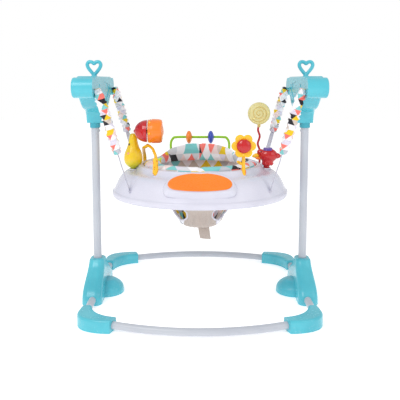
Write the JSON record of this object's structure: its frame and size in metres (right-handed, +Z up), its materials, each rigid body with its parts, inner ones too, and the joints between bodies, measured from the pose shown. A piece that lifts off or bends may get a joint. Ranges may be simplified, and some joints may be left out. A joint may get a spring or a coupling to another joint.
{
  "type": "activity jumper",
  "caption": "Free-standing activity jumper: two uprights on a floor ring hang an oval toy tray on sprung straps, and a fabric seat turns in the tray.",
  "frame": {"origin": "on the floor, under the middle of the base", "axes": "+X to the jumper's right as seen from the front, +Y to the back, +Z up"},
  "size_m": [0.83, 0.805, 0.8567],
  "materials": {
    "frame_tube": "powder-coated light grey",
    "zinc_steel": "zinc plated",
    "aqua_plastic": "moulded, glossy",
    "teal_plastic": "moulded, glossy",
    "pad_rubber": "matte",
    "spring_steel": "oiled spring wire",
    "sleeve_fabric": "printed cotton, gathered",
    "strap_webbing": "woven polyester webbing",
    "grey_plastic": "moulded",
    "tray_white": "moulded, glossy",
    "panel_orange": "moulded, satin",
    "seat_fabric": "printed polyester, triangles",
    "beige_webbing": "woven tape",
    "bar_green": "moulded, glossy",
    "toy_orange": "moulded, glossy",
    "toy_blue": "moulded, glossy",
    "toy_yellow": "moulded, glossy",
    "toy_red": "moulded, glossy",
    "lolly_yellow": "moulded, translucent look"
  },
  "bodies": {
    "frame": {"side_tube_left": "frame_tube", "side_tube_right": "frame_tube", "front_tube": "frame_tube", "rear_tube_left": "frame_tube", "rear_tube_right": "frame_tube", "upright_left": "frame_tube", "upright_right": "frame_tube", "rear_tube_insert": "zinc_steel", "frame_screws": "zinc_steel", "hanger_pins": "zinc_steel", "corner_foot_front_left": "aqua_plastic", "corner_foot_front_right": "aqua_plastic", "corner_foot_rear_left": "aqua_plastic", "corner_foot_rear_right": "aqua_plastic", "boot_left": "aqua_plastic", "boot_right": "aqua_plastic", "head_left_inner_shell": "aqua_plastic", "head_left_outer_shell": "aqua_plastic", "head_right_inner_shell": "aqua_plastic", "head_right_outer_shell": "aqua_plastic", "heart_loop_left": "aqua_plastic", "heart_loop_right": "aqua_plastic", "head_collars": "teal_plastic", "rubber_pads": "pad_rubber", "bounce_springs": "spring_steel", "spring_sleeve_front_left": "sleeve_fabric", "spring_sleeve_front_right": "sleeve_fabric", "spring_sleeve_rear_left": "sleeve_fabric", "spring_sleeve_rear_right": "sleeve_fabric"},
    "tray": {"tray_shell": "tray_white", "tray_under_ring": "tray_white", "toy_sockets": "tray_white", "console_panel": "panel_orange", "strap_anchors": "grey_plastic", "tray_strap_front_left": "strap_webbing", "tray_strap_front_right": "strap_webbing", "tray_strap_rear_left": "strap_webbing", "tray_strap_rear_right": "strap_webbing", "bead_bar": "bar_green", "roller_arch": "toy_yellow", "flower_stem": "toy_yellow"},
    "seat": {"seat_ring": "tray_white", "seat_rim_pad": "seat_fabric", "seat_back_pad": "seat_fabric", "seat_pod": "seat_fabric", "crotch_strap": "beige_webbing"},
    "roller": {"roller_dome": "toy_red", "roller_barrel": "toy_orange"},
    "flower": {"flower_petals": "toy_yellow", "flower_dome": "toy_red"},
    "lollipop": {"lollipop_stalk": "toy_red", "lollipop_disc": "lolly_yellow"},
    "pear": {"pear_toy": "toy_yellow"},
    "bird": {"bird_toy": "toy_red"},
    "orange_bead": {"bead_orange": "toy_orange"},
    "blue_bead": {"bead_blue": "toy_blue"},
    "left_button": {"snap_button_left": "grey_plastic"},
    "right_button": {"snap_button_right": "grey_plastic"},
    "rear_button": {"rear_snap_button": "grey_plastic"}
  },
  "joints": [
    {"name": "tray_bounce", "type": "slide", "parent": "frame", "child": "tray", "axis": [0, 0, 1], "range_m": [-0.12, 0.05], "stiffness_N_per_m": 1000, "springref_m": 0.0434, "deforming": ["bounce_springs", "spring_sleeve_front_left", "spring_sleeve_front_right", "spring_sleeve_rear_left", "spring_sleeve_rear_right"]},
    {"name": "seat_swivel", "type": "hinge", "parent": "tray", "child": "seat", "pos_m": [0, 0, 0.455], "axis": [0, 0, 1], "continuous": true},
    {"name": "roller_spin", "type": "hinge", "parent": "tray", "child": "roller", "pos_m": [-0.185, -0.047, 0.605], "axis": [1, 0, 0], "continuous": true},
    {"name": "flower_spin", "type": "hinge", "parent": "tray", "child": "flower", "pos_m": [0.145, -0.182, 0.568], "axis": [0, -1, 0], "continuous": true},
    {"name": "lollipop_sway", "type": "hinge", "parent": "tray", "child": "lollipop", "pos_m": [0.226, 0.08, 0.4645], "axis": [0, 1, 0], "range_deg": [-12, 12], "stiffness_Nm_per_rad": 2},
    {"name": "pear_rock", "type": "hinge", "parent": "tray", "child": "pear", "pos_m": [-0.241, -0.018, 0.4645], "axis": [1, 0, 0], "range_deg": [-9, 9], "stiffness_Nm_per_rad": 3},
    {"name": "bird_swivel", "type": "hinge", "parent": "tray", "child": "bird", "pos_m": [0.243, 0, 0.47], "axis": [0, 0, 1], "range_deg": [-50, 50]},
    {"name": "orange_bead_slide", "type": "slide", "parent": "tray", "child": "orange_bead", "axis": [1, 0, 0], "range_m": [-0.034, 0.03]},
    {"name": "blue_bead_slide", "type": "slide", "parent": "tray", "child": "blue_bead", "axis": [1, 0, 0], "range_m": [-0.03, 0.034]},
    {"name": "left_button_press", "type": "slide", "parent": "frame", "child": "left_button", "axis": [-1, 0, 0], "range_m": [0, 0.0035], "stiffness_N_per_m": 400},
    {"name": "right_button_press", "type": "slide", "parent": "frame", "child": "right_button", "axis": [1, 0, 0], "range_m": [0, 0.0035], "stiffness_N_per_m": 400},
    {"name": "rear_button_press", "type": "slide", "parent": "frame", "child": "rear_button", "axis": [0, 1, 0], "range_m": [0, 0.0035], "stiffness_N_per_m": 400}
  ]
}
